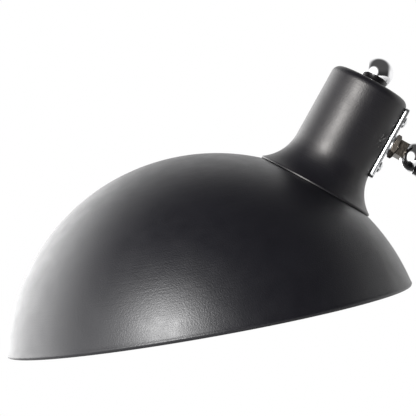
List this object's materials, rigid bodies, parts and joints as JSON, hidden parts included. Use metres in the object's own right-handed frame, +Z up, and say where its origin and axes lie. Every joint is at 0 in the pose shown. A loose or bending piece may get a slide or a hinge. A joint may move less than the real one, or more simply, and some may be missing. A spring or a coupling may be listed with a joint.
{
  "type": "architect desk lamp",
  "caption": "Adjustable desk lamp with a wide dome shade on a flared neck, a ball swivel, jointed tube arms and a round weighted base.",
  "frame": {"origin": "centre of the underside of the base pad, on the table", "axes": "+Z up along the base swivel's axis; the arms lie in the XZ plane with the shade towards -X and the elbow towards +X; hinge axes along +Y; the viewer's side is -Y"},
  "size_m": [0.5333, 0.2602, 0.5183],
  "materials": {
    "black_paint": "satin black powder coat with a fine grain; the inside of the shade is white",
    "chrome": "polished chrome plating",
    "bright_zinc": "bright zinc plated steel",
    "nickel": "machined steel with dull nickel plating",
    "cast_iron": "rough casting",
    "rubber": "matt moulded rubber",
    "black_plastic": "moulded black plastic",
    "fibre": "pressed fibre",
    "nylon": "moulded nylon",
    "bronze": "turned bronze",
    "ceramic": "glazed steatite",
    "brass": "pressed brass",
    "opal_glass": "opal white glass",
    "aluminium": "rolled aluminium"
  },
  "bodies": {
    "base": {"base_pad": "rubber", "base_plate": "bright_zinc", "base_weight": "cast_iron", "base_cover": "black_paint", "base_screws": "bright_zinc", "column_bush": "bronze", "inlet_bush": "rubber", "switch_body": "black_plastic"},
    "switch": {"switch_button": "black_plastic"},
    "column": {"column": "chrome", "column_washer": "bright_zinc", "column_screw": "bright_zinc", "lower_pivot_bolt": "chrome", "lower_pivot_washers": "bright_zinc", "lower_pivot_nut": "chrome", "lower_friction_discs": "fibre"},
    "lower_arm": {"lower_eye": "chrome", "lower_tube": "black_paint", "elbow_fork": "chrome", "elbow_bolt": "chrome", "elbow_washers": "bright_zinc", "elbow_nut": "chrome", "elbow_friction_discs": "fibre"},
    "upper_arm": {"elbow_eye": "chrome", "upper_tube": "black_paint", "socket_collar": "chrome", "socket_housing": "chrome"},
    "swivel": {"swivel_seat": "nylon", "pull_rod": "bright_zinc", "rod_nut": "bright_zinc", "socket_spring": "bright_zinc"},
    "head": {"swivel_ball": "chrome", "ball_stem": "nickel", "stem_nut": "nickel", "stem_washer": "bright_zinc", "stem_inner_nut": "bright_zinc", "bracket_plate": "bright_zinc", "bracket_screws": "bright_zinc", "bracket_nuts": "bright_zinc", "shade_neck": "black_paint", "shade_dome": "black_paint", "foot_ring": "bright_zinc", "foot_screws": "bright_zinc", "nipple": "bright_zinc", "nipple_nut": "bright_zinc", "ball_knob": "chrome", "holder_cap": "black_plastic", "holder_shell": "black_plastic", "holder_core": "ceramic", "holder_thread": "brass", "centre_contact": "brass", "bulb_glass": "opal_glass", "bulb_cap": "aluminium", "bulb_contact": "aluminium"}
  },
  "joints": [
    {"name": "base_swivel", "type": "hinge", "parent": "base", "child": "column", "pos_m": [0, 0, 0.03], "axis": [0, 0, 1], "range_deg": [-160, 160]},
    {"name": "lower_arm_tilt", "type": "hinge", "parent": "column", "child": "lower_arm", "pos_m": [0, 0, 0.072], "axis": [0, 1, 0], "range_deg": [-20, 30]},
    {"name": "elbow_tilt", "type": "hinge", "parent": "lower_arm", "child": "upper_arm", "pos_m": [0.18346, 0, 0.30937], "axis": [0, 1, 0], "range_deg": [-20, 70]},
    {"name": "head_spin", "type": "hinge", "parent": "upper_arm", "child": "swivel", "pos_m": [-0.0788, 0, 0.45504], "axis": [0.8742, 0, -0.4856], "range_deg": [-150, 150]},
    {"name": "head_tilt", "type": "hinge", "parent": "swivel", "child": "head", "pos_m": [-0.0788, 0, 0.45504], "axis": [0, 1, 0], "range_deg": [-14, 14]},
    {"name": "switch_press", "type": "slide", "parent": "base", "child": "switch", "axis": [0, 0, 1], "range_m": [-0.0025, 0], "stiffness_N_per_m": 300, "springref_m": 0.0005}
  ]
}
